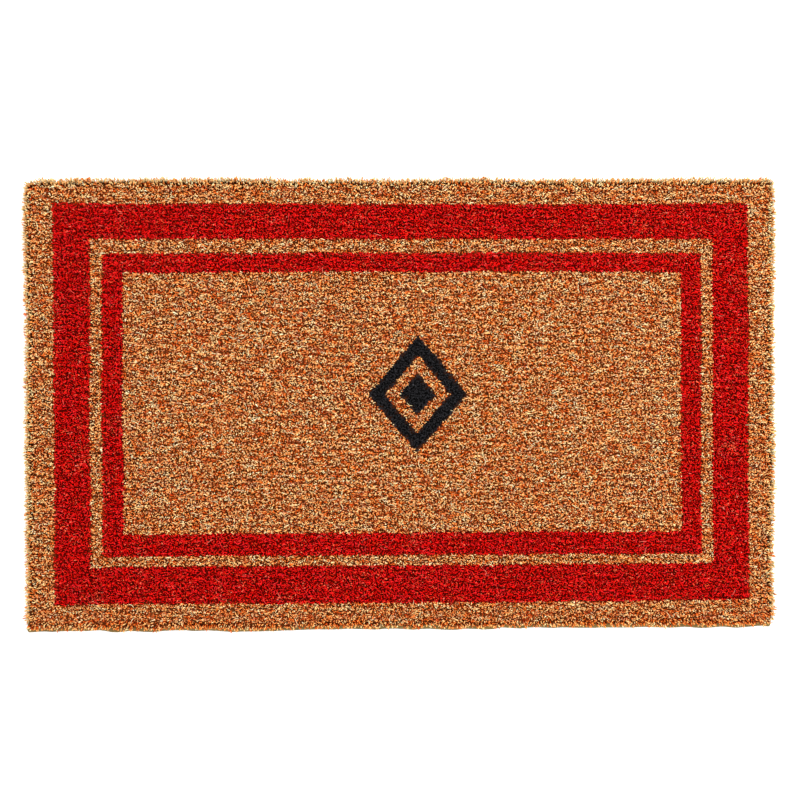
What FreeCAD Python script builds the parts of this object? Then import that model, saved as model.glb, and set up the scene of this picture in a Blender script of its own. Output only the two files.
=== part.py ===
# A coir door mat: a vinyl backing sheet that carries a level pile of coconut fibre tufts.
#
# The tufts are dyed from above in nested rectangular bands round a plain field, with a lozenge mark
# in the middle. The tufts of each zone are a solid of their own, standing on the sheet side by side.
#
# Frame: the origin is the centre of the mat's underside, +X runs along the length, +Y runs to the far
# long edge and +Z goes up through the pile. Millimetres.

import FreeCAD, Part
import os

import Sketcher

OUTPUT_FOLDER = "parts"
SKETCH_ORIGIN = (-1, 1)  # the sketcher's own numbers for its origin point and its axes
SKETCH_AXES = {"X": -1, "Y": -2}
START_LENGTH, START_WIDTH = 60.0, 40.0  # what an outline measures before its sizes are bound
SAME_PLACE = 1e-4  # two places closer than this are one place

SIZES = (
    ("MatLength", 762.0, "backing sheet, end to end, 30 in"),
    ("MatWidth", 457.2, "backing sheet, front to back, 18 in"),
    ("BackingThickness", 2.4, "vinyl under the tufts"),
    ("BackingCornerRadius", 3.0, "knife-cut corners of the sheet"),
    ("PileHeight", 12.8, "tufts, from the sheet to the sheared tips"),
    ("PileSetback", 1.8, "sheet outside the outermost tufts at the long edges, were the pile centred"),
    ("PileEndSetback", 0.8, "the same at the short ends"),
    ("PileShiftY", 1.2, "how far the pile sits off centre on the sheet, to the far edge"),
    ("PileCornerRadius", 4.0, "outermost tufts at the mat's corners"),
    ("PileShoulderRadius", 3.0, "tips of the outermost tufts, worn round"),
    ("RimWidth", 26.0, "undyed rim along the long edges, were the print centred"),
    ("RimEndWidth", 27.0, "the same along the short ends"),
    ("OuterBandWidth", 36.4, "wide dyed band"),
    ("BandGap", 12.6, "undyed line between the bands"),
    ("InnerBandWidth", 20.6, "narrow dyed band"),
    ("PrintShiftX", 1.4, "how far the dyed pattern sits off centre, to the right"),
    ("PrintShiftY", 2.6, "and towards the far edge"),
    ("OuterBandShiftY", 1.3, "how far the wide band's inner outline sits off the print's centre"),
    ("InnerBandShiftY", -0.7, "the same of the narrow band's outer outline"),
    ("FieldShiftY", 0.9, "the same of the field's outline"),
    ("MarkLength", 100.0, "lozenge mark, corner to corner along X"),
    ("MarkWidth", 118.0, "lozenge mark, corner to corner along Y"),
    ("MarkStroke", 12.5, "width of the lozenge's dyed outline"),
    ("MarkGap", 12.0, "undyed line between the outline and the lozenge in it"),
    ("MarkShiftX", 14.8, "how far the mark sits off the print's centre, to the right"),
    ("MarkShiftY", 9.3, "and towards the far edge"),
)


def make_sheet(doc):
    """The driving dimensions, one row each: name, value, what it measures."""
    sheet = doc.addObject("Spreadsheet::Sheet", "Sizes")
    for row, (alias, value, note) in enumerate(SIZES, start=1):
        sheet.set(f"A{row}", alias)
        sheet.set(f"B{row}", str(value))
        sheet.setAlias(f"B{row}", alias)
        sheet.set(f"C{row}", note)
    doc.recompute()
    return sheet


# Every outline's size is a pair of expressions: its length along X and its width along Y.


def inset(size, at_edges, at_ends=None):
    """The size of an outline inside another, all round by one width or at the ends by one of its own."""
    length, width = size
    return f"{length} - 2 * Sizes.{at_ends or at_edges}", f"{width} - 2 * Sizes.{at_edges}"


MAT = "Sizes.MatLength", "Sizes.MatWidth"
PILE = inset(MAT, "PileSetback", "PileEndSetback")
PRINT = inset(MAT, "RimWidth", "RimEndWidth")
OUTER_BAND_INSIDE = inset(PRINT, "OuterBandWidth")
GAP_INSIDE = inset(OUTER_BAND_INSIDE, "BandGap")
FIELD = inset(GAP_INSIDE, "InnerBandWidth")

# The bands were stencilled by hand one after another, so each outline has a shift of its own from
# the print's centre, and so has the mark.
PRINT_CENTRE = "Sizes.PrintShiftX", "Sizes.PrintShiftY", "Sizes.BackingThickness"
PRINT_OUTLINE = PRINT, ("0", "0")
OUTER_BAND_HOLE = OUTER_BAND_INSIDE, ("0", "Sizes.OuterBandShiftY")
INNER_BAND_OUTLINE = GAP_INSIDE, ("0", "Sizes.InnerBandShiftY")
FIELD_OUTLINE = FIELD, ("0", "Sizes.FieldShiftY")
MARK_CENTRE = (
    "Sizes.PrintShiftX + Sizes.MarkShiftX",
    "Sizes.PrintShiftY + Sizes.MarkShiftY",
    "Sizes.BackingThickness",
)
FIELD_ROUND_MARK = "(0 - Sizes.MarkShiftX)", "(Sizes.FieldShiftY - Sizes.MarkShiftY)"


def inset_lozenge(*widths):
    """The size of the mark's lozenge with its sides moved in by the widths together.

    A side of a lozenge a long and b wide lies a * b / (2 * sqrt(a^2 + b^2)) from its centre. The inset
    lozenge has the same shape, made smaller by the share of that distance that is left.
    """
    moved = " + ".join(f"Sizes.{width}" for width in widths)
    product = "(Sizes.MarkLength * Sizes.MarkWidth)"
    diagonal = "sqrt(Sizes.MarkLength ^ 2 + Sizes.MarkWidth ^ 2)"
    share = f"(1 - 2 * ({moved}) * {diagonal} / {product})"
    return tuple(f"{side} * {share}" for side in MARK)


MARK = "Sizes.MarkLength", "Sizes.MarkWidth"
MARK_HOLE = inset_lozenge("MarkStroke")
MARK_HEART = inset_lozenge("MarkStroke", "MarkGap")


def closed_outline(sketch, corners):
    """Four lines from corner to corner, joined end to end. Returns the number of the first one."""
    points = [FreeCAD.Vector(x, y, 0) for x, y in corners]
    first = sketch.GeometryCount
    for start, end in zip(points, points[1:] + points[:1]):
        sketch.addGeometry(Part.LineSegment(start, end), False)
    for side in range(4):
        after = first + (side + 1) % 4
        sketch.addConstraint(Sketcher.Constraint("Coincident", first + side, 2, after, 1))
    return first


def bind(sketch, axis, start, end, expression, guess):
    """Sets the distance from one point to another along that axis by the expression."""
    number = sketch.addConstraint(Sketcher.Constraint(f"Distance{axis}", *start, *end, guess))
    sketch.setExpression(f"Constraints[{number}]", expression)


def rectangle(sketch, size, shift=("0", "0")):
    """A rectangle whose centre lies at shift from the sketch's origin."""
    x, y = START_LENGTH / 2, START_WIDTH / 2
    first = closed_outline(sketch, ((-x, -y), (x, -y), (x, y), (-x, y)))
    for side, direction in enumerate(("Horizontal", "Vertical", "Horizontal", "Vertical")):
        sketch.addConstraint(Sketcher.Constraint(direction, first + side))
    near_corner, far_corner = (first, 1), (first + 2, 1)
    for axis, side, move, guess in zip("XY", size, shift, (x, y)):
        bind(sketch, axis, near_corner, SKETCH_ORIGIN, f"({side}) / 2 - {move}", guess)
        bind(sketch, axis, SKETCH_ORIGIN, far_corner, f"({side}) / 2 + {move}", guess)


def lozenge(sketch, size):
    """A lozenge centred on the sketch's origin, with its corners on the axes."""
    x, y = START_LENGTH / 2, START_WIDTH / 2
    first = closed_outline(sketch, ((x, 0), (0, y), (-x, 0), (0, -y)))
    for corner, axis in enumerate("XYXY"):
        on_axis = Sketcher.Constraint("PointOnObject", first + corner, 1, SKETCH_AXES[axis])
        sketch.addConstraint(on_axis)
    right, top, left, bottom = ((first + corner, 1) for corner in range(4))
    for axis, side, low, high, guess in zip("XY", size, (left, bottom), (right, top), (x, y)):
        bind(sketch, axis, low, SKETCH_ORIGIN, f"({side}) / 2", guess)
        bind(sketch, axis, SKETCH_ORIGIN, high, f"({side}) / 2", guess)


def ground_sketch(body, name):
    """A sketch on the body's own XY plane."""
    plane = next(plane for plane in body.Origin.OriginFeatures if plane.Role == "XY_Plane")
    sketch = body.newObject("Sketcher::SketchObject", name)
    sketch.AttachmentSupport = (plane, [""])
    sketch.MapMode = "FlatFace"
    return sketch


def slab(doc, label, thickness, outlines, place=("0", "0", "0")):
    """A body of even thickness. Each outline is a shape's function and its arguments, holes last."""
    body = doc.addObject("PartDesign::Body", label)
    body.Label = label
    for axis, expression in zip("xyz", place):
        body.setExpression(f"Placement.Base.{axis}", expression)
    sketch = ground_sketch(body, f"{label}_outline")
    for draw, *arguments in outlines:
        draw(sketch, *arguments)
    pad = body.newObject("PartDesign::Pad", f"{label}_pad")
    pad.Profile = sketch
    pad.setExpression("Length", thickness)
    doc.recompute()
    return body


def round_edges(doc, body, name, radius, wanted):
    """Rounds the edges of the body's last feature for which wanted says yes."""
    base = body.Tip
    edges = [f"Edge{number}" for number, edge in enumerate(base.Shape.Edges, start=1) if wanted(edge)]
    fillet = body.newObject("PartDesign::Fillet", name)
    fillet.Base = (base, edges)
    fillet.setExpression("Radius", radius)
    doc.recompute()


def at_corner(half_length, half_width):
    """Says yes to an upright edge at a corner of a rectangle of that size."""

    def wanted(edge):
        box = edge.BoundBox
        upright = box.XLength < SAME_PLACE and box.YLength < SAME_PLACE
        off_length = abs(abs(box.XMin) - half_length)
        off_width = abs(abs(box.YMin) - half_width)
        return upright and off_length < SAME_PLACE and off_width < SAME_PLACE

    return wanted


def round_the_top(top, half_length, half_width, corner_radius):
    """Says yes to an edge at the top that runs round the outside, the corners' arcs among them."""

    def wanted(edge):
        box, middle = edge.BoundBox, edge.CenterOfMass
        level = abs(box.ZMin - top) < SAME_PLACE and box.ZLength < SAME_PLACE
        past_length = abs(middle.x) > half_length - corner_radius
        past_width = abs(middle.y) > half_width - corner_radius
        return level and (past_length or past_width)

    return wanted


def backing_sheet(doc, sizes):
    """The vinyl sheet, flat on both faces."""
    body = slab(doc, "backing_sheet", "Sizes.BackingThickness", [(rectangle, MAT)])
    corner = at_corner(sizes.MatLength / 2, sizes.MatWidth / 2)
    round_edges(doc, body, "backing_corners", "Sizes.BackingCornerRadius", corner)
    return body


def rim_pile(doc, sizes):
    """The undyed tufts from the sheet's edge in to the wide band, worn round at the outside."""
    print_on_pile = ("Sizes.PrintShiftX", "(Sizes.PrintShiftY - Sizes.PileShiftY)")
    outlines = [(rectangle, PILE), (rectangle, PRINT, print_on_pile)]
    place = ("0", "Sizes.PileShiftY", "Sizes.BackingThickness")
    body = slab(doc, "rim_pile", "Sizes.PileHeight", outlines, place)
    half_length = sizes.MatLength / 2 - sizes.PileEndSetback
    half_width = sizes.MatWidth / 2 - sizes.PileSetback
    corner = at_corner(half_length, half_width)
    round_edges(doc, body, "rim_corners", "Sizes.PileCornerRadius", corner)
    shoulder = round_the_top(sizes.PileHeight, half_length, half_width, sizes.PileCornerRadius)
    round_edges(doc, body, "rim_shoulder", "Sizes.PileShoulderRadius", shoulder)
    return body


def band_pile(doc, label, outside, inside):
    """The tufts of one band of the print, between two rectangles, each with its own shift."""
    outlines = [(rectangle, *outside), (rectangle, *inside)]
    return slab(doc, label, "Sizes.PileHeight", outlines, PRINT_CENTRE)


def mark_pile(doc, label, *outlines):
    """The tufts of one zone of the print round the mark's centre."""
    return slab(doc, label, "Sizes.PileHeight", outlines, MARK_CENTRE)


def make_parts(doc, sizes):
    """Every sub-part, from the sheet up and from the rim in."""
    return [
        backing_sheet(doc, sizes),
        rim_pile(doc, sizes),
        band_pile(doc, "outer_band_pile", PRINT_OUTLINE, OUTER_BAND_HOLE),
        band_pile(doc, "band_gap_pile", OUTER_BAND_HOLE, INNER_BAND_OUTLINE),
        band_pile(doc, "inner_band_pile", INNER_BAND_OUTLINE, FIELD_OUTLINE),
        mark_pile(doc, "field_pile", (rectangle, FIELD, FIELD_ROUND_MARK), (lozenge, MARK)),
        mark_pile(doc, "mark_outline_pile", (lozenge, MARK), (lozenge, MARK_HOLE)),
        mark_pile(doc, "mark_gap_pile", (lozenge, MARK_HOLE), (lozenge, MARK_HEART)),
        mark_pile(doc, "mark_centre_pile", (lozenge, MARK_HEART)),
    ]


def check(doc, parts):
    """Stops the build if a feature failed or a sub-part isn't one whole solid."""
    for thing in doc.Objects:
        if "Invalid" in thing.State or "Error" in thing.State:
            raise RuntimeError(f"{thing.Label} failed: {thing.State}")
    for part in parts:
        shape = part.Shape
        if shape.isNull() or not shape.isValid() or len(shape.Solids) != 1:
            raise RuntimeError(f"{part.Label} isn't one valid solid")


def write(parts):
    os.makedirs(OUTPUT_FOLDER, exist_ok=True)
    for part in parts:
        part.Shape.exportStep(os.path.join(OUTPUT_FOLDER, f"{part.Label}.step"))
        box = part.Shape.BoundBox
        print(f"{part.Label}: {box.XLength:.1f} x {box.YLength:.1f} x {box.ZLength:.1f} mm")


def main():
    doc = FreeCAD.newDocument("door_mat")
    sizes = make_sheet(doc)
    parts = make_parts(doc, sizes)
    doc.recompute()
    check(doc, parts)
    write(parts)


main()
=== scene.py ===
import math
from dataclasses import dataclass, fields

import bpy
import numpy as np
from mathutils import Euler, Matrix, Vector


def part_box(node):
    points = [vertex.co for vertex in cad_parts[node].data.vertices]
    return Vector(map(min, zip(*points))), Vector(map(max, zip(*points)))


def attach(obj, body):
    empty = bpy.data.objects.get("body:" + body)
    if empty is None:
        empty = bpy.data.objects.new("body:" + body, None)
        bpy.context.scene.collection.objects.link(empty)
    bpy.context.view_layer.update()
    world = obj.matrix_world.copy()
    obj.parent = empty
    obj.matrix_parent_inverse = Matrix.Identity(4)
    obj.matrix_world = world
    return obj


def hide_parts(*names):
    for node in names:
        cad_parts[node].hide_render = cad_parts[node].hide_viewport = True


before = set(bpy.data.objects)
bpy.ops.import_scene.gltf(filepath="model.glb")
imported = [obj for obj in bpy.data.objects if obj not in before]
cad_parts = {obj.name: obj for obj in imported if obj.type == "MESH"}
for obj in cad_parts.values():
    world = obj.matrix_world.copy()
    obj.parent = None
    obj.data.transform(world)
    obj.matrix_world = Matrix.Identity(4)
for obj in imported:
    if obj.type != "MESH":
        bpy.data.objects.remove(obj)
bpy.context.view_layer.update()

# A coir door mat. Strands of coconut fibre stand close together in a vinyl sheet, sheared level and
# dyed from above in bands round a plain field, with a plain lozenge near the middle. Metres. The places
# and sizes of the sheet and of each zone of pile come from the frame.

MM = 0.001
SEED = 20

SHEET_LOW, SHEET_HIGH = (np.array(corner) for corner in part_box("backing_sheet"))
SHEET_CORNER_RADIUS = 3 * MM
SHEET_GRID = (121, 73)
SHEET_EVENNESS = 0.15  # 1 spaces its grid lines evenly, and less crowds them towards the edges
CUT_SLOPE = 1.0 * MM  # the knife leaned, so each side of the sheet stands out this much at its foot
PILE_LOW, PILE_HIGH = (np.array(corner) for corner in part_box("rim_pile"))
ROOT_LEVEL, TIP_LEVEL = SHEET_HIGH[2], PILE_HIGH[2]
PILE_HEIGHT = TIP_LEVEL - ROOT_LEVEL

# The zones of the print, each inside the one before: CAD node, outline, corner radius, dye.
ZONES = (
    ("rim_pile", "rectangle", 4.0 * MM, "natural"),
    ("outer_band_pile", "rectangle", 0.5 * MM, "red"),
    ("band_gap_pile", "rectangle", 1.0 * MM, "natural"),
    ("inner_band_pile", "rectangle", 3.0 * MM, "red"),
    ("field_pile", "rectangle", 0.5 * MM, "natural"),
    ("mark_outline_pile", "lozenge", 0.0, "black"),
    ("mark_gap_pile", "lozenge", 0.0, "natural"),
    ("mark_centre_pile", "lozenge", 0.0, "black"),
)
RED_ZONES = [number for number, zone in enumerate(ZONES) if zone[3] == "red"]
BLACK_ZONES = [number for number, zone in enumerate(ZONES) if zone[3] == "black"]

# How far the knife's cut and the dye's stencil wander: sizes, each with the wavelength it comes at
CUT_WANDER = ((0.5 * MM, 150 * MM), (0.45 * MM, 22 * MM))
STENCIL_WANDER = ((0.4 * MM, 160 * MM), (0.3 * MM, 14 * MM))

# Strands of the pile
SPACING = 1.42 * MM
SCATTER_MARGIN = 2 * MM
STRAND_RADIUS = 0.50 * MM
RADIUS_SPREAD = 0.28  # as a spread of its logarithm
TIP_SHARE = 0.85  # the radius at the tip, as a share of that at the root
CUT_TILT = 0.25  # spread of the slope at which single tips are cut
LEAST_CUT_RISE = 0.45  # keeps the cut of a strand that lies down from running far along it
SIDES = 3
MOST_STRANDS_IN_A_PIECE = 19900
ROOT_DEPTH = 0.5 * MM  # how far strands reach into the vinyl

# Lean below the knee and bend above it, as distances over the plane
PILE_LEAN = np.array([0.2, 0.8]) * MM  # the way all of it was brushed
TUFT_WIDTH = 6 * MM
TUFT_STRETCH = 3.0  # tufts are longer along the rows they were planted in than across
TUFT_BEND = 0.35 * MM
TUFT_LEAN_SHARE = 0.5  # tufts lean less than they bend
OWN_LEAN = 0.45 * MM  # the likeliest size of each strand's own random part
OWN_BEND = 1.15 * MM
BEND_SHARES = (1.05, 0.7)  # strands bend more along the rows than across
STIFF_BEND = 0.5  # how far strands under thick black dye bend, as a share of the others

# Heights of tips and knees
SWELL_STRETCH = 5.0
ROW_SWELL = 0.6 * MM  # slow rise and fall from row to row
PATCH_SWELL = 0.1 * MM
SWELL_PATCH = 30 * MM
MOST_SWELL = 0.5 * MM
SHEAR_DROP = 0.2 * MM  # how far below the pile's given top the shears went
RAGGEDNESS = 0.9 * MM  # these two are the random parts of how far tips fall short of the shears
SHORTFALL = 0.45 * MM
KNEE_DROPS = (1.5 * MM, 3.5 * MM)  # how far a knee lies below its tip
EDGE_KNEES = (1.0 * MM, 4.0 * MM)  # and how high above the vinyl it is at the edge

# The edge of the pile
EDGE_ZONE = 4 * MM  # the outermost strands
EDGE_COMB = 0.95  # the share of their own lean and bend across the edge that trimming took away
SPLAY = 3.8 * MM  # how far the outermost strands lean out
KNEE_SPLAY = 0.3  # how much of that is at the knee, as a share
SPLAY_REACH = 7.0 * MM  # how far in from the edge they start to
NEAR_SPLAY = 0.72  # how far strands at the near edge lean out, as a share of the others
SPLAY_PATCH = 9 * MM
SPLAY_UNEVENNESS = 0.15
LEAST_SPLAY = 0.85
NEAR_SPLAY_SPREAD = 0.25  # strands at the near edge differ more
SHOULDER = 3.5 * MM
SHOULDER_DROP = 1.6 * MM  # how much lower the outermost tips are worn
NEAR_DROP = 2.0 * MM  # and how much more at the near edge, where feet come on
NEAR_REACH = 24.0 * MM
EDGE_STOUTNESS = 0.25  # how much thicker the strands are at the edge, as a share

# Painted light and shade, and the colour of the strands. Tone runs from 0 dark to 1 pale, warmth from 0 grey
# to 1 orange.
EDGE_LIT = 8.0 * MM  # how much further down light gets at the edge, so the painted shade starts that much lower there
NEAR_SHADE = 0.5  # how much less it gets there at the near edge, as a share
WORN_LIT = 0.6  # how far the level of the light follows worn tips down, as a share
EDGE_PAINTED_LIGHT = 0.08  # painted light: how much paler in tone the strands are made at the ends and the far edge
NEAR_PAINTED_SHADE = 5  # painted shade at the near edge: there this times as much is taken off
TONE_SPREAD = 0.19
ROW_TONE = 0.09
PATCH_TONE = 0.015
TONE_PATCH = 60 * MM
DEEP_PAINTED_SHADE = 0.13  # painted shade: tone taken off for each millimetre that a tip lies lower
WARMTH_SPREAD = 0.25
PATCH_WARMTH = 0.08
WARMTH_PATCH = 40 * MM

# Dye
DYE_SPREAD = 0.3 * MM  # how far dye creeps past the stencil
DYE_RAGGEDNESS = 0.25 * MM
DYED_POINT = 0.6  # the place between knee and tip, 0 to 1, that says which zone a strand is in

# Loose strands on top. Pairs are the least and the most.
STRAY_COUNT = 600
STRAY_STATIONS = 6
STRAY_ROOM = 12 * MM  # how far from the edge they start
STRAY_LENGTHS = (4 * MM, 10 * MM)
STRAY_CURL = 1.3  # spread of how far they turn from end to end, in radians
STRAY_DEPTHS = (1.2 * MM, 2.4 * MM)
STRAY_RISE = 0.2 * MM  # how far their middles stand above the pile's given top
STRAY_ARC_START, STRAY_ARC_SPAN = 0.08, 0.84
STRAY_RADII = (0.18 * MM, 0.34 * MM)
PALE_STRAYS = 0.75  # their share, the others being dark
PALE_TONES, DARK_TONE = (0.8, 1.0), 0.1
STRAY_WARMTHS = (0.0, 0.6)

# Wisps that stand out over the ends and the far edge
WISP_TRIES = 740000  # points scattered over the whole pile, of which the ones by those edges count
WISP_MARGIN = 1 * MM
WISP_ZONE = 2.0 * MM
MOST_NEARWARDS = -0.1  # wisps whose way out points further to the near side are left out
WISP_REACHES = (1.4 * MM, 2.6 * MM)
WISP_KNEE_REACH = 0.4
WISP_TURN = 0.25 * MM
WISP_KNEES = (0.35, 0.7)  # as shares of the pile's height
WISP_RISES = (0.5 * MM, 4.0 * MM)  # from knee to tip
WISP_RADII = (0.22 * MM, 0.42 * MM)
WISP_PAINTED_LIGHT = 0.5 * MM  # painted light: they are as pale as strands whose tips stand this far above the shears

# Felt of roots between the strands
FELT_SHARE = 0.55  # its height as a share of the pile's
FELT_EDGE_SHARE = 0.15  # the same at its edge
FELT_SLOPE = 10 * MM  # how far in it takes to rise from one to the other
FELT_INSET = 0.6 * MM
FELT_PITCH = 5.0 * MM
FELT_ROUGHNESS = 0.5 * MM
FELT_SINK = 0.1 * MM  # how far it goes into the vinyl

# Colours. In a ramp, each has its place from 0 to 1 before it.
STRAW_TONES = (
    (0.0, (0.30, 0.036, 0.003)),
    (0.25, (0.40, 0.092, 0.013)),
    (0.5, (0.43, 0.210, 0.068)),
    (0.75, (0.41, 0.305, 0.148)),
    (1.0, (0.38, 0.350, 0.225)),
)
STRAW_CAST = ((0.0, (0.97, 1.0, 1.0)), (1.0, (1.0, 0.93, 0.80)))  # from no warmth to the most
STRAW_PAINTED_SHADE = (0.26, 0.014, 0.001)  # painted shade between the strands, lower down
PAINTED_SHADE_DEPTHS = (0.6 * MM, 4.0 * MM)
MOST_PAINTED_SHADE = 0.9
DARK_ROUGHNESS, PALE_ROUGHNESS = 0.75, 0.5
RED_DYE = {"Filter": (0.85, 0.022, 0.06), "Film": (0.30, 0.005, 0.005), "Cover": 0.15}
BLACK_DYE = {"Filter": (0.02, 0.02, 0.02), "Film": (0.0095, 0.0095, 0.011), "Cover": 0.9, "Luck": 1.0}
BLACK_GLOSS = 0.05
DYE_DEPTHS = (5 * MM, 9 * MM)
DEEP_DYE = 0.4  # how much of it is left lower down
UNLUCKY, LEAST_WETTED = 0.3, 0.78  # strands with less luck than this are wetted less, down to that
# The felt's coir brown and dyed red, darkened further as painted shade deep in the pile
FELT_BROWNS_AND_SHADE = ((0.3, (0.03, 0.006, 0.001)), (0.7, (0.11, 0.032, 0.008)))
FELT_RED_AND_SHADE = (0.06, 0.002, 0.001)
FELT_BLACK = (0.004, 0.004, 0.004)
VINYL_KHAKIS = ((0.3, (0.075, 0.048, 0.012)), (0.7, (0.12, 0.077, 0.021)))
FLOOR_GREY = (0.55, 0.55, 0.55, 1)

# Studio
FLOOR_HALF = 20.0
KEY_PLACE, KEY_SIZE, KEY_POWER = (1.3, 1.5, 2.0), 1.0, 130
SKY_STRENGTH = 3.2
LENS = 85
CAMERA_PLACE = (-0.0714, 0.0221, 1.9352)
CAMERA_TURN = (-0.475, -2.069, -0.187)  # degrees


# ---------------------------------------------------------------- numbers


def random_waves(rng, wavelength, stretch=1.0, count=24):
    """A random smooth field over the plane with a spread of about 1, as a function of points.

    It is the sum of sine waves that run in random directions from random starts, with lengths from
    0.6 to 1.6 of the given one. stretch makes its patches longer along X.
    """
    turn = rng.uniform(0, 2 * math.pi, count)
    start = rng.uniform(0, 2 * math.pi, count)
    pace = 2 * math.pi / (wavelength * rng.uniform(0.6, 1.6, count))
    across = np.stack([np.cos(turn) / stretch, np.sin(turn)]) * pace

    def field(points):
        return np.sin(points @ across + start).sum(axis=1) * math.sqrt(2 / count)

    return field


def random_drift(rng, *layers, stretch=1.0):
    """A vector at each point: the sum of two such fields for each layer, a size and a wavelength."""
    waves = [(size, *(random_waves(rng, length, stretch) for _ in range(2))) for size, length in layers]

    def drift(points):
        return sum(size * np.stack([x(points), y(points)], axis=1) for size, x, y in waves)

    return drift


def unit(vectors):
    return vectors / np.maximum(np.linalg.norm(vectors, axis=-1, keepdims=True), 1e-12)


def smooth_step(values):
    """0 below 0, 1 above 1, and 3 v^2 - 2 v^3 between."""
    v = np.clip(values, 0, 1)
    return v * v * (3 - 2 * v)


def any_way(rng, count):
    """Unit vectors in random directions on the plane."""
    turn = rng.uniform(0, 2 * math.pi, count)
    return np.stack([np.cos(turn), np.sin(turn)], axis=1)


def inside_by(points, low, high, outline, radius):
    """How far each point lies inside an outline that fills a box, less than 0 outside it.

    Rectangle: the distance to a box with rounded corners, taken from the part of |p| that goes past
    the box shrunk by the radius. Lozenge: 1 - |x| / a - |y| / b, times the height of its triangles.
    """
    half = (high - low)[:2] / 2
    away = np.abs(points - (low + high)[:2] / 2)
    if outline == "lozenge":
        return (1 - (away / half).sum(axis=1)) * half.prod() / math.hypot(*half)
    past = away - (half - radius)
    outside = np.linalg.norm(np.maximum(past, 0), axis=1)
    return radius - outside - np.minimum(past.max(axis=1), 0)


# ---------------------------------------------------------------- meshes


def mesh_piece(name, points, triangles, flat=None):
    """A mesh object from arrays. flat says which triangles keep their own normal; the rest are smooth."""
    mesh = bpy.data.meshes.new(name)
    mesh.vertices.add(len(points))
    mesh.vertices.foreach_set("co", points.astype(np.float32).ravel())
    mesh.loops.add(triangles.size)
    mesh.loops.foreach_set("vertex_index", triangles.astype(np.int32).ravel())
    mesh.polygons.add(len(triangles))
    mesh.polygons.foreach_set("loop_start", np.arange(0, triangles.size, 3, dtype=np.int32))
    if flat is not None:
        mesh.attributes.new("sharp_face", "BOOLEAN", "FACE").data.foreach_set("value", flat)
    mesh.update(calc_edges=True)
    mesh.validate()
    piece = bpy.data.objects.new(name, mesh)
    bpy.context.scene.collection.objects.link(piece)
    return piece


def point_values(piece, **values):
    """Keeps one number per vertex under each name, for the materials to read."""
    for name, numbers in values.items():
        layer = piece.data.attributes.new(name, "FLOAT", "POINT")
        layer.data.foreach_set("value", numbers.astype(np.float32).ravel())


def corner_places(piece, places):
    """The piece's map for baking: a place for each corner of each triangle."""
    layer = piece.data.uv_layers.new(name="OFBake")
    layer.uv.foreach_set("vector", places.astype(np.float32).ravel())


def finish_piece(piece, material):
    piece.data.materials.append(material)
    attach(piece, "root")


# ---------------------------------------------------------------- strands


@dataclass
class Strands:
    """One entry per strand: its centreline from root to tip, its radius and its colour."""

    line: np.ndarray  # strand, point, coordinate
    radius: np.ndarray
    top: np.ndarray  # the height its surroundings reach, from which its depth counts for the dye and the painted shade; lower where light gets further in
    tone: np.ndarray  # 0 dark to 1 pale
    warmth: np.ndarray  # 0 grey to 1 orange

    def chosen(self, which):
        return Strands(*(getattr(self, field.name)[which] for field in fields(self)))


def strand_points(strands, upright, rng):
    """The root's point, then a ring of points round each further point of the centreline.

    A ring is c + r (cos a u + sin a v), with u and v square to the strand. The last one is cut by the
    shears: its points slide along the strand onto a nearly level plane. Returns (strand, point, 3).
    """
    line = strands.line
    count, stations = line.shape[:2]
    step = unit(np.diff(line, axis=1))
    along = np.concatenate([step[:, :1], unit(step[:, :-1] + step[:, 1:]), step[:, -1:]], axis=1)
    beside = np.array([1.0, 0.0, 0.0]) if upright else np.array([0.0, 0.0, 1.0])
    u = unit(np.cross(along, beside))
    v = np.cross(along, u)
    start = rng.uniform(0, 2 * math.pi, count)
    angle = start[:, None, None, None] + (np.arange(SIDES) * 2 * math.pi / SIDES)[:, None]
    out = np.cos(angle) * u[:, :, None] + np.sin(angle) * v[:, :, None]
    size = np.linspace(1.0, TIP_SHARE, stations)
    out = out * (strands.radius[:, None] * size)[:, :, None, None]
    level = unit(np.column_stack([rng.normal(0, CUT_TILT, (count, 2)), np.ones(count)]))
    rise = np.maximum((along[:, -1] * level).sum(axis=-1), LEAST_CUT_RISE)
    slide = -(out[:, -1] * level[:, None]).sum(axis=-1) / rise[:, None]
    out[:, -1] += slide[:, :, None] * along[:, -1][:, None]
    rings = line[:, 1:, None] + out[:, 1:]
    return np.concatenate([line[:, :1], rings.reshape(count, -1, 3)], axis=1)


def strand_triangles(stations):
    """The triangles of one strand: a fan from the root, its sides from ring to ring, and the cut tip."""
    first = np.arange(SIDES)
    after = (first + 1) % SIDES
    fan = np.stack([np.zeros(SIDES, int), 1 + after, 1 + first], axis=1)
    faces = [fan]
    for ring in range(stations - 2):
        here, above = 1 + ring * SIDES, 1 + (ring + 1) * SIDES
        faces.append(np.stack([here + first, here + after, above + after], axis=1))
        faces.append(np.stack([here + first, above + after, above + first], axis=1))
    tip = 1 + (stations - 2) * SIDES
    faces.append(np.array([[tip, tip + 1, tip + 2]]))
    return np.concatenate(faces)


def strand_places(stations):
    """Where one strand's corners go in its cell of the map, which is 1 wide.

    Its rings are triangles one inside the other round the root's point, the tip's outermost, so that
    the part that shows has the most room. The cut tip lies apart in the free corner.
    """
    low, high = 0.04, 0.93
    outer = np.array([(low, low), (high, low), (low, high)])
    middle = outer.mean(axis=0)
    sizes = np.linspace(0.0, 1.0, stations)[1:, None, None]
    rings = (middle + (outer - middle) * sizes).reshape(-1, 2)
    places = np.concatenate([[middle], rings])[strand_triangles(stations)]
    low, high = 0.62, 0.96
    places[-1] = [(high, low), (high, high), (low, high)]
    return places


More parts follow.
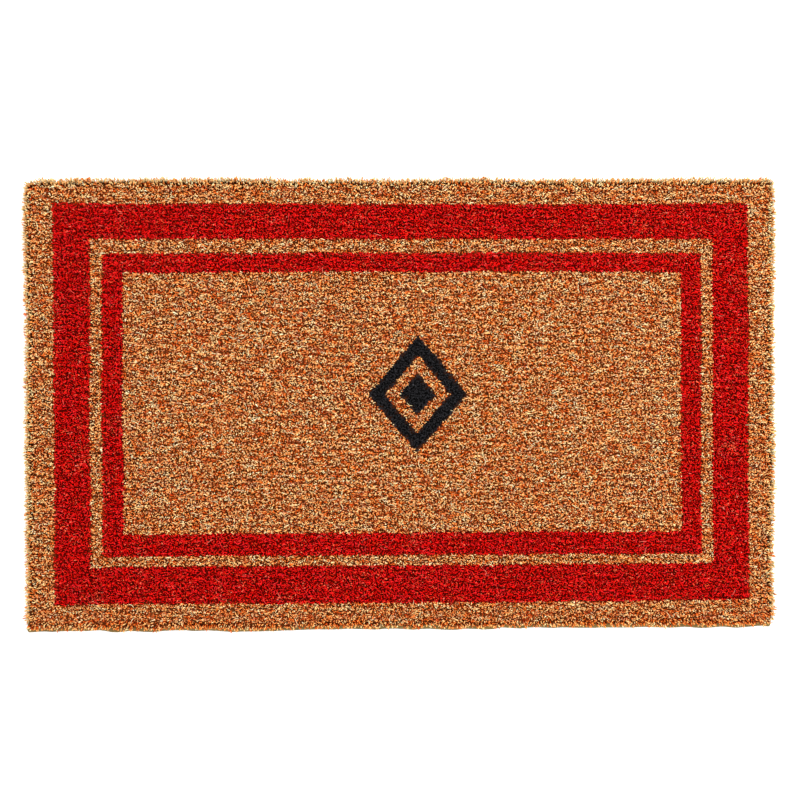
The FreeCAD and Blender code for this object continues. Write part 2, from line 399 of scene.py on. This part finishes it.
def strand_piece(name, strands, rng, upright=True):
    """One mesh of many strands, with their colour and how deep each point lies for the materials."""
    count, stations = strands.line.shape[:2]
    points = strand_points(strands, upright, rng)
    per_strand = points.shape[1]
    shape = strand_triangles(stations)
    triangles = (np.arange(count)[:, None, None] * per_strand + shape).reshape(-1, 3)
    flat = np.zeros((count, len(shape)), bool)
    flat[:, -1] = True
    piece = mesh_piece(name, points.reshape(-1, 3), triangles, flat.ravel())
    cells = math.ceil(math.sqrt(count))
    cell = np.stack([np.arange(count) % cells, np.arange(count) // cells], axis=1)
    corner_places(piece, (cell[:, None, None] + strand_places(stations)) / cells)
    tone, warmth = (np.repeat(numbers, per_strand) for numbers in (strands.tone, strands.warmth))
    point_values(piece, tone=tone, warmth=warmth, depth=strands.top[:, None] - points[:, :, 2])
    return piece


# ---------------------------------------------------------------- the pile


def scatter_roots(rng):
    """Points all over the pile about a spacing apart: a square grid with each point moved at random."""
    room = (PILE_HIGH - PILE_LOW)[:2] + 2 * SCATTER_MARGIN
    columns, rows = np.ceil(room / SPACING).astype(int)
    grid = np.stack(np.meshgrid(np.arange(columns), np.arange(rows)), axis=-1).reshape(-1, 2)
    loose = rng.uniform(0, 1, grid.shape)
    return PILE_LOW[:2] - SCATTER_MARGIN + (grid + loose) * room / (columns, rows)


def pile_edge(points, cut):
    """How far inside the pile's own outline each point is, once the knife's wander is taken off."""
    _, outline, radius, _ = ZONES[0]
    return inside_by(points - cut(points), PILE_LOW, PILE_HIGH, outline, radius)


def outwards(points, edge, reach):
    """The way out over the nearest side, 1 long at the edge and 0 further in than the reach.

    It is shorter at the near edge, which was trimmed square and shows the lip of the sheet.
    """
    centre = (PILE_LOW + PILE_HIGH)[:2] / 2
    half = (PILE_HIGH - PILE_LOW)[:2] / 2
    past = np.maximum(np.abs(points - centre) - (half - reach), 0)
    way = unit(np.sign(points - centre) * past) * smooth_step(1 - edge / reach)[:, None]
    way[:, 1] = np.maximum(way[:, 1], NEAR_SPLAY * way[:, 1])
    return way


def strand_colours(roots, depth, rng):
    """Tone and warmth of each strand: its own, and a little of its row's and its neighbourhood's.

    A strand whose tip lies deep in the pile is given a darker tone, as painted shade, and the tall ones a
    paler one.
    """
    rows = random_waves(rng, TUFT_WIDTH, TUFT_STRETCH)
    patches = random_waves(rng, TONE_PATCH)
    shared = ROW_TONE * rows(roots) + PATCH_TONE * patches(roots)
    tone = rng.normal(0.5, TONE_SPREAD, len(roots)) + shared - DEEP_PAINTED_SHADE * (depth / MM - 1)
    warmth = rng.normal(0.5, WARMTH_SPREAD, len(roots))
    warmth = warmth + PATCH_WARMTH * random_waves(rng, WARMTH_PATCH)(roots)
    return np.clip(tone, 0, 1), np.clip(warmth, 0, 1)


def strand_leans(roots, edge, near, rng):
    """Each strand's lean, its bend and its share of the splay, over the plane.

    Lean and bend are a smooth field, the same for a whole tuft, plus a random part of the strand's
    own. Trimming took away what the outermost strands had of it across the edge.
    """
    count = len(roots)
    uneven = 1 + SPLAY_UNEVENNESS * random_waves(rng, SPLAY_PATCH)(roots)
    splay = outwards(roots, edge, SPLAY_REACH) * uneven[:, None]
    tuft = random_drift(rng, (TUFT_BEND, TUFT_WIDTH), stretch=TUFT_STRETCH)(roots)
    lean = PILE_LEAN + TUFT_LEAN_SHARE * tuft + rng.rayleigh(OWN_LEAN, count)[:, None] * any_way(rng, count)
    bend = tuft + rng.rayleigh(OWN_BEND, count)[:, None] * any_way(rng, count) * BEND_SHARES
    stiff = np.isin(zones_of(roots, np.zeros_like(roots)), BLACK_ZONES)
    bend[stiff] *= STIFF_BEND
    out = outwards(roots, edge, EDGE_ZONE)
    bend -= EDGE_COMB * (bend * out).sum(axis=1, keepdims=True) * out
    lean -= EDGE_COMB * ((lean - PILE_LEAN) * out).sum(axis=1, keepdims=True) * out
    own_splay = rng.uniform(LEAST_SPLAY, 1.0, count)
    splay *= (own_splay + NEAR_SPLAY_SPREAD * near * rng.normal(0, 1, count))[:, None]
    return lean, bend, splay


def strand_heights(roots, edge, worn, rng):
    """The heights of each strand's knee and tip, and how far the shears left the tip below their level.

    The shears cut the tips level but for a slow rise and fall along the rows and a little
    raggedness, and wear took the most off at the shoulders and the near edge.
    """
    count = len(roots)
    rows = random_waves(rng, TUFT_WIDTH, SWELL_STRETCH)
    swell = ROW_SWELL * rows(roots) + PATCH_SWELL * random_waves(rng, SWELL_PATCH)(roots)
    depth = np.abs(rng.normal(0, RAGGEDNESS, count)) + rng.exponential(SHORTFALL, count)
    shoulder = SHOULDER_DROP * (1 - smooth_step(edge / SHOULDER))
    tip = TIP_LEVEL - SHEAR_DROP - depth + np.minimum(swell, MOST_SWELL) - worn - shoulder
    knee = tip - rng.uniform(*KNEE_DROPS, count)
    outermost = edge < EDGE_ZONE
    knee[outermost] = ROOT_LEVEL + rng.uniform(*EDGE_KNEES, outermost.sum())
    return knee, tip, depth


def lay_pile(rng, cut):
    """The strands that make the pile, each on a centreline of root, knee and tip.

    A strand stands up from its root, leans a little and bends over near the tip, and the outermost
    strands splay out.
    """
    roots = scatter_roots(rng)
    edge = pile_edge(roots, cut)
    roots, edge = roots[edge > 0], edge[edge > 0]
    count = len(roots)
    near = 1 - smooth_step((roots[:, 1] - PILE_LOW[1]) / NEAR_REACH)
    worn = NEAR_DROP * near
    lean, bend, splay = strand_leans(roots, edge, near, rng)
    knee, tip, depth = strand_heights(roots, edge, worn, rng)

    line = np.empty((count, 3, 3))
    line[:, 0, :2] = roots
    line[:, 1, :2] = roots + lean + KNEE_SPLAY * SPLAY * splay
    line[:, 2, :2] = roots + lean + bend + SPLAY * splay
    line[:, :, 2] = np.stack([np.full(count, ROOT_LEVEL - ROOT_DEPTH), knee, tip], axis=1)
    outer = smooth_step(1 - edge / SPLAY_REACH)
    radius = STRAND_RADIUS * np.exp(rng.normal(0, RADIUS_SPREAD, count))
    radius *= 1 + EDGE_STOUTNESS * outer
    # How much painted light the strands at the edge get, less at the near edge: paler tones, and painted
    # shade starting lower down
    lit = outer * (1 - NEAR_SHADE * near)
    tone, warmth = strand_colours(roots, depth, rng)
    # Painted light makes the edge strands paler, and painted shade makes those at the near edge darker
    tone = np.clip(tone + EDGE_PAINTED_LIGHT * lit * (1 - NEAR_PAINTED_SHADE * near), 0, 1)
    return Strands(line, radius, TIP_LEVEL - WORN_LIT * worn - EDGE_LIT * lit, tone, warmth)


def lay_strays(rng):
    """Long thin strands that lie loose on top, each an arc that rises out of the pile and sinks again.

    Point t of the arc, 0 to 1, is start + length * t along a heading that turns steadily, at the
    height top - depth + (depth + rise) * sin(pi s), where s runs evenly along the arc within 0 to 1.
    """
    low, high = PILE_LOW[:2] + STRAY_ROOM, PILE_HIGH[:2] - STRAY_ROOM
    start = rng.uniform(low, high, (STRAY_COUNT, 2))
    t = np.linspace(0, 1, STRAY_STATIONS)
    length = rng.uniform(*STRAY_LENGTHS, STRAY_COUNT)
    heading = rng.uniform(0, 2 * math.pi, STRAY_COUNT)[:, None]
    heading = heading + rng.normal(0, STRAY_CURL, STRAY_COUNT)[:, None] * t
    pace = (length / (STRAY_STATIONS - 1))[:, None, None]
    path = start[:, None] + np.cumsum(np.stack([np.cos(heading), np.sin(heading)], axis=-1) * pace, axis=1)
    depth = rng.uniform(*STRAY_DEPTHS, STRAY_COUNT)[:, None]
    arc = np.sin(math.pi * (STRAY_ARC_START + STRAY_ARC_SPAN * t))
    height = TIP_LEVEL - depth + (depth + STRAY_RISE) * arc
    line = np.concatenate([path, height[..., None]], axis=2)
    radius = rng.uniform(*STRAY_RADII, STRAY_COUNT)
    pale = rng.uniform(0, 1, STRAY_COUNT) < PALE_STRAYS
    tone = np.where(pale, rng.uniform(*PALE_TONES, STRAY_COUNT), DARK_TONE)
    top = np.full(STRAY_COUNT, TIP_LEVEL)
    return Strands(line, radius, top, tone, rng.uniform(*STRAY_WARMTHS, STRAY_COUNT))


def lay_wisps(rng, cut):
    """Thin strands that stand out over the ends and the far edge, and make the outline soft, made pale with
    painted light.
    """
    low, high = PILE_LOW[:2] - WISP_MARGIN, PILE_HIGH[:2] + WISP_MARGIN
    roots = rng.uniform(low, high, (WISP_TRIES, 2))
    edge = pile_edge(roots, cut)
    outermost = (edge > 0) & (edge < WISP_ZONE)
    roots, edge = roots[outermost], edge[outermost]
    way = outwards(roots, edge, SPLAY_REACH)
    wanted = way[:, 1] > MOST_NEARWARDS
    roots, way = roots[wanted], way[wanted]
    count = len(roots)
    reach = rng.uniform(*WISP_REACHES, count)[:, None]
    turn = rng.normal(0, WISP_TURN, (count, 2))
    knee = ROOT_LEVEL + rng.uniform(*WISP_KNEES, count) * PILE_HEIGHT
    tip = knee + rng.uniform(*WISP_RISES, count)
    line = np.empty((count, 3, 3))
    line[:, 0, :2] = roots
    line[:, 1, :2] = roots + PILE_LEAN + WISP_KNEE_REACH * reach * way + turn
    line[:, 2, :2] = roots + PILE_LEAN + reach * way + 2 * turn
    line[:, :, 2] = np.stack([np.full(count, ROOT_LEVEL - ROOT_DEPTH), knee, tip], axis=1)
    radius = rng.uniform(*WISP_RADII, count)
    above_the_shears = np.full(count, -WISP_PAINTED_LIGHT)
    return Strands(line, radius, tip - EDGE_LIT, *strand_colours(roots, above_the_shears, rng))


def zones_of(points, wander):
    """The number of each point's zone. The dye's edges wander a little, as it creeps along strands."""
    moved = points + wander
    zone = np.zeros(len(points), int)
    for number, (node, outline, radius, dye) in enumerate(ZONES[1:], start=1):
        low, high = (np.array(corner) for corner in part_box(node))
        spread = DYE_SPREAD if dye == "natural" else -DYE_SPREAD
        zone[inside_by(moved, low, high, outline, radius) > spread] = number
    return zone


def dye_wander(points, creep, rng):
    """How far the dye's edge is off at each point: slow drift of the stencil and creep along strands."""
    return creep(points) + rng.normal(0, DYE_RAGGEDNESS, points.shape)


def split_pile(strands, zone):
    """Each zone's strands in lots that aren't too big, cut from the near edge to the far one."""
    for number, (node, _, _, dye) in enumerate(ZONES):
        members = np.flatnonzero(zone == number)
        members = members[np.argsort(strands.line[members, 0, 1])]
        lots = math.ceil(len(members) / MOST_STRANDS_IN_A_PIECE)
        for lot, chosen in enumerate(np.array_split(members, lots), start=1):
            name = f"{node}_strands_{lot}" if lots > 1 else f"{node}_strands"
            yield name, node, dye, strands.chosen(chosen)


def make_pile(rng, cut, creep, materials):
    """The pieces of every zone's pile, and the strays and wisps on it."""
    pile = lay_pile(rng, cut)
    dyed = (1 - DYED_POINT) * pile.line[:, 1, :2] + DYED_POINT * pile.line[:, 2, :2]
    zone = zones_of(dyed, dye_wander(dyed, creep, rng))
    pieces = []
    for name, node, dye, strands in split_pile(pile, zone):
        piece = strand_piece(name, strands, rng)
        finish_piece(piece, materials[dye])
        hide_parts(node)
        pieces.append(piece)
    strays = lay_strays(rng)
    middle = strays.line[:, STRAY_STATIONS // 2, :2]
    zone = zones_of(middle, np.zeros_like(middle))
    red = np.isin(zone, RED_ZONES)
    black = np.isin(zone, BLACK_ZONES)
    for dye, chosen in (("natural", ~(red | black)), ("red", red)):
        piece = strand_piece(f"stray_strands_{dye}", strays.chosen(chosen), rng, upright=False)
        finish_piece(piece, materials[dye])
        pieces.append(piece)
    wisps = strand_piece("edge_wisps", lay_wisps(rng, cut), rng)
    finish_piece(wisps, materials["natural"])
    return [*pieces, wisps]


# ---------------------------------------------------------------- slabs


def closed_slab(number):
    """Triangles of a slab from its grid of top vertices, whose bottom vertices follow in the same order."""
    rows, columns = number.shape
    a, b = number[:-1, :-1].ravel(), number[:-1, 1:].ravel()
    c, d = number[1:, 1:].ravel(), number[1:, :-1].ravel()
    top = np.concatenate([np.stack([a, b, c], 1), np.stack([a, c, d], 1)])
    bottom = top[:, ::-1] + rows * columns
    rim = np.concatenate([number[0, :-1], number[:-1, -1], number[-1, :0:-1], number[:0:-1, 0]])
    after = np.roll(rim, -1)
    down, down_after = rim + rows * columns, after + rows * columns
    wall = np.concatenate([np.stack([rim, down, down_after], 1), np.stack([rim, down_after, after], 1)])
    return np.concatenate([top, bottom, wall])


def make_felt(rng, cut, creep, material):
    """The felt of roots low in the pile, too dense to see into: a closed slab with a rough top, dark with
    painted shade.
    """
    low, high = PILE_LOW[:2] + FELT_INSET, PILE_HIGH[:2] - FELT_INSET
    columns, rows = np.ceil((high - low) / FELT_PITCH).astype(int)
    across, along = np.meshgrid(np.linspace(0, 1, columns), np.linspace(0, 1, rows))
    plane = np.stack([across, along], axis=-1).reshape(-1, 2) * (high - low) + low
    plane = plane + cut(plane)
    rise = smooth_step(pile_edge(plane, cut) / FELT_SLOPE)
    share = FELT_EDGE_SHARE + (FELT_SHARE - FELT_EDGE_SHARE) * rise
    height = ROOT_LEVEL + share * PILE_HEIGHT + rng.normal(0, FELT_ROUGHNESS, len(plane))
    top = np.column_stack([plane, height])
    bottom = np.column_stack([plane, np.full(len(plane), ROOT_LEVEL - FELT_SINK)])
    number = np.arange(columns * rows).reshape(rows, columns)
    piece = mesh_piece("root_felt", np.concatenate([top, bottom]), closed_slab(number))
    zone = np.tile(zones_of(plane, creep(plane)), 2)
    point_values(piece, red=np.isin(zone, RED_ZONES), black=np.isin(zone, BLACK_ZONES))
    finish_piece(piece, material)
    return piece


def make_sheet(cut, material):
    """The vinyl sheet, knife-cut along a line that wanders a little, with rounded corners.

    Grid lines crowd towards the edges: place s from -1 to 1 becomes e s + (1 - e) sin(pi s / 2),
    where e is their evenness.
    Corners outside the rounded outline are drawn in to it, and then all points follow the cut.
    """
    centre = (SHEET_LOW + SHEET_HIGH)[:2] / 2
    half = (SHEET_HIGH - SHEET_LOW)[:2] / 2
    columns, rows = SHEET_GRID
    steps = [np.linspace(-1, 1, count) for count in (columns, rows)]
    steps = [SHEET_EVENNESS * s + (1 - SHEET_EVENNESS) * np.sin(math.pi * s / 2) for s in steps]
    plane = np.stack(np.meshgrid(*steps), axis=-1).reshape(-1, 2) * half
    core = half - SHEET_CORNER_RADIUS
    past = np.maximum(np.abs(plane) - core, 0)
    too_far = np.maximum(np.linalg.norm(past, axis=1, keepdims=True) - SHEET_CORNER_RADIUS, 0)
    plane = plane - np.sign(plane) * unit(past) * too_far + centre
    plane = plane + cut(plane)
    foot = centre + (plane - centre) * (1 + CUT_SLOPE / half)
    top = np.column_stack([plane, np.full(len(plane), SHEET_HIGH[2])])
    bottom = np.column_stack([foot, np.full(len(plane), SHEET_LOW[2])])
    number = np.arange(columns * rows).reshape(rows, columns)
    triangles = closed_slab(number)
    walls = np.zeros(len(triangles), bool)
    walls[-4 * (columns + rows - 2):] = True  # two for each stretch of the rim, and they come last
    sheet = mesh_piece("vinyl_sheet", np.concatenate([top, bottom]), triangles, walls)
    finish_piece(sheet, material)
    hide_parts("backing_sheet")
    return sheet


# ---------------------------------------------------------------- materials


def put(tree, kind, **settings):
    """A node with its settings. A setting named after a socket, with its spaces as _, fills that socket."""
    node = tree.nodes.new(kind)
    for name, value in settings.items():
        socket = node.inputs.get(name.replace("_", " "))
        if socket is None:
            setattr(node, name, value)
        elif isinstance(value, bpy.types.NodeSocket):
            tree.links.new(value, socket)
        else:
            socket.default_value = (*value, 1) if isinstance(value, tuple) else value
    return node


def ramp(tree, fac, stops):
    node = put(tree, "ShaderNodeValToRGB", Fac=fac)
    elements = node.color_ramp.elements
    while len(elements) < len(stops):
        elements.new(0.5)
    for element, (place, colour) in zip(elements, stops):
        element.position = place
        element.color = (*colour, 1)
    return node.outputs["Color"]


def map_range(tree, value, low, high, to_low=0.0, to_high=1.0):
    node = put(tree, "ShaderNodeMapRange", Value=value, From_Min=low, From_Max=high)
    node.inputs["To Min"].default_value = to_low
    node.inputs["To Max"].default_value = to_high
    return node.outputs["Result"]


def mix(tree, a, b, fac, blend="MIX"):
    node = put(tree, "ShaderNodeMix", data_type="RGBA", blend_type=blend)
    for socket, value in ((node.inputs["Factor"], fac), (node.inputs[6], a), (node.inputs[7], b)):
        if isinstance(value, bpy.types.NodeSocket):
            tree.links.new(value, socket)
        else:
            socket.default_value = value if isinstance(value, float) else (*value, 1)
    return node.outputs[2]


def attribute(tree, name):
    return put(tree, "ShaderNodeAttribute", attribute_name=name).outputs["Fac"]


def new_group(name, inputs, outputs):
    """An empty node group. Sockets are given as name: type. Returns its tree, inputs and outputs."""
    tree = bpy.data.node_groups.new(name, "ShaderNodeTree")
    for way, sockets in (("INPUT", inputs), ("OUTPUT", outputs)):
        for socket, kind in sockets.items():
            tree.interface.new_socket(socket, in_out=way, socket_type=f"NodeSocket{kind}")
    given = tree.nodes.new("NodeGroupInput").outputs
    made = tree.nodes.new("NodeGroupOutput").inputs
    return tree, given, made


def straw_group():
    """Coir's colour and roughness, from a strand's tone and warmth, with painted shade mixed in by how deep
    the point lies.
    """
    inputs = {"Tone": "Float", "Warmth": "Float", "Depth": "Float", "Shade": "Color"}
    tree, given, made = new_group("straw", inputs, {"Colour": "Color", "Roughness": "Float"})
    own = ramp(tree, given["Tone"], STRAW_TONES)
    cast = ramp(tree, given["Warmth"], STRAW_CAST)
    tinted = mix(tree, own, cast, 1.0, "MULTIPLY")
    # painted shade, mixed in more the deeper the point lies
    low = map_range(tree, given["Depth"], *PAINTED_SHADE_DEPTHS, 0.0, MOST_PAINTED_SHADE)
    tree.links.new(mix(tree, tinted, given["Shade"], low), made["Colour"])
    roughness = map_range(tree, given["Tone"], 0.0, 1.0, DARK_ROUGHNESS, PALE_ROUGHNESS)
    tree.links.new(roughness, made["Roughness"])
    return tree


def dye_group():
    """Dye sprayed from above: it filters the fibre's own colour and lies on it.

    There is less of it further down, and a few strands were hardly wetted.
    """
    inputs = {name: "Color" for name in ("Fibre", "Filter", "Film")}
    inputs |= {name: "Float" for name in ("Cover", "Depth", "Luck")}
    tree, given, made = new_group("dye", inputs, {"Colour": "Color"})
    filtered = mix(tree, given["Fibre"], given["Filter"], 1.0, "MULTIPLY")
    film = mix(tree, filtered, given["Film"], given["Cover"])
    share = map_range(tree, given["Depth"], *DYE_DEPTHS, 1.0, DEEP_DYE)
    dyed = mix(tree, given["Fibre"], film, share)
    wetted = map_range(tree, given["Luck"], 0.0, UNLUCKY, LEAST_WETTED, 1.0)
    tree.links.new(mix(tree, given["Fibre"], dyed, wetted), made["Colour"])
    return tree


def new_material(name):
    """A node material, its tree and the sockets of its Principled BSDF."""
    material = bpy.data.materials.new(name)
    material.use_nodes = True
    return material, material.node_tree, material.node_tree.nodes["Principled BSDF"].inputs


def coir_material(name, straw_tree, dye_tree=None, gloss=0.0, **dye):
    """Coir, under a dye if one is given: Filter is what it lets through, Film what lies on the strand."""
    material, tree, shader = new_material(name)
    numbers = {number: attribute(tree, number.lower()) for number in ("Tone", "Warmth", "Depth")}
    made = put(tree, "ShaderNodeGroup", node_tree=straw_tree, Shade=STRAW_PAINTED_SHADE, **numbers).outputs
    colour = made["Colour"]
    if dye_tree:
        dye = {"Luck": numbers["Warmth"], **dye}
        placed = put(tree, "ShaderNodeGroup", node_tree=dye_tree, Fibre=colour, Depth=numbers["Depth"], **dye)
        colour = placed.outputs["Colour"]
    tree.links.new(colour, shader["Base Color"])
    tree.links.new(made["Roughness"], shader["Roughness"])
    shader["Specular IOR Level"].default_value = gloss
    return material


def felt_material():
    material, tree, shader = new_material("root_felt")
    where = put(tree, "ShaderNodeTexCoord").outputs["Object"]
    grain = put(tree, "ShaderNodeTexNoise", Vector=where, Scale=900.0, Detail=3.0).outputs["Fac"]
    # coir brown darkened with painted shade, then reddened or blackened under the dye
    brown = ramp(tree, grain, FELT_BROWNS_AND_SHADE)
    reddened = mix(tree, brown, FELT_RED_AND_SHADE, attribute(tree, "red"))
    tree.links.new(mix(tree, reddened, FELT_BLACK, attribute(tree, "black")), shader["Base Color"])
    bump = put(tree, "ShaderNodeBump", Strength=0.8, Distance=1 * MM, Height=grain)
    tree.links.new(bump.outputs["Normal"], shader["Normal"])
    shader["Roughness"].default_value = 0.95
    shader["Specular IOR Level"].default_value = 0.0
    return material


def vinyl_material():
    material, tree, shader = new_material("vinyl")
    where = put(tree, "ShaderNodeTexCoord").outputs["Object"]
    cloud = put(tree, "ShaderNodeTexNoise", Vector=where, Scale=60.0, Detail=4.0).outputs["Fac"]
    pebble = put(tree, "ShaderNodeTexVoronoi", Vector=where, Scale=420.0).outputs["Distance"]
    tree.links.new(ramp(tree, cloud, VINYL_KHAKIS), shader["Base Color"])
    tree.links.new(map_range(tree, cloud, 0.3, 0.7, 0.45, 0.65), shader["Roughness"])
    shader["Specular IOR Level"].default_value = 0.1
    bump = put(tree, "ShaderNodeBump", Strength=0.5, Distance=0.3 * MM, Height=pebble)
    tree.links.new(bump.outputs["Normal"], shader["Normal"])
    return material


# ---------------------------------------------------------------- studio


def make_floor():
    side = FLOOR_HALF
    corners = np.array([(-side, -side, 0), (side, -side, 0), (side, side, 0), (-side, side, 0)])
    floor = mesh_piece("floor", corners, np.array([(0, 1, 2), (0, 2, 3)]))
    material, _, shader = new_material("floor")
    shader["Base Color"].default_value = FLOOR_GREY
    shader["Roughness"].default_value = 0.9
    floor.data.materials.append(material)


def soft_light(name, place, size, power):
    """A square light panel that looks at the mat."""
    data = bpy.data.lights.new(name, "AREA")
    data.shape = "SQUARE"
    data.size = size
    data.energy = power
    light = bpy.data.objects.new(name, data)
    bpy.context.scene.collection.objects.link(light)
    light.location = place
    light.rotation_euler = (-light.location).to_track_quat("-Z", "Y").to_euler()


def make_lights():
    soft_light("key", KEY_PLACE, KEY_SIZE, KEY_POWER)
    world = bpy.data.worlds.new("studio")
    bpy.context.scene.world = world
    world.use_nodes = True
    background = world.node_tree.nodes["Background"]
    background.inputs["Color"].default_value = (1, 1, 1, 1)
    background.inputs["Strength"].default_value = SKY_STRENGTH


def make_camera():
    """A long lens almost straight above the mat."""
    data = bpy.data.cameras.new("camera")
    data.lens = LENS
    camera = bpy.data.objects.new("camera", data)
    bpy.context.scene.collection.objects.link(camera)
    camera.location = CAMERA_PLACE
    camera.rotation_euler = Euler([math.radians(turn) for turn in CAMERA_TURN])
    bpy.context.scene.camera = camera


# ---------------------------------------------------------------- the scene


def main():
    rng = np.random.default_rng(SEED)
    bpy.context.scene.view_settings.view_transform = "Standard"
    make_floor()
    make_lights()
    make_camera()
    straw_tree, dye_tree = straw_group(), dye_group()
    materials = {
        "natural": coir_material("natural_coir", straw_tree),
        "red": coir_material("red_coir", straw_tree, dye_tree, **RED_DYE),
        "black": coir_material("black_coir", straw_tree, dye_tree, BLACK_GLOSS, **BLACK_DYE),
    }
    cut = random_drift(rng, *CUT_WANDER)
    creep = random_drift(rng, *STENCIL_WANDER)
    pile = make_pile(rng, cut, creep, materials)
    felt = make_felt(rng, cut, creep, felt_material())
    sheet = make_sheet(cut, vinyl_material())


main()
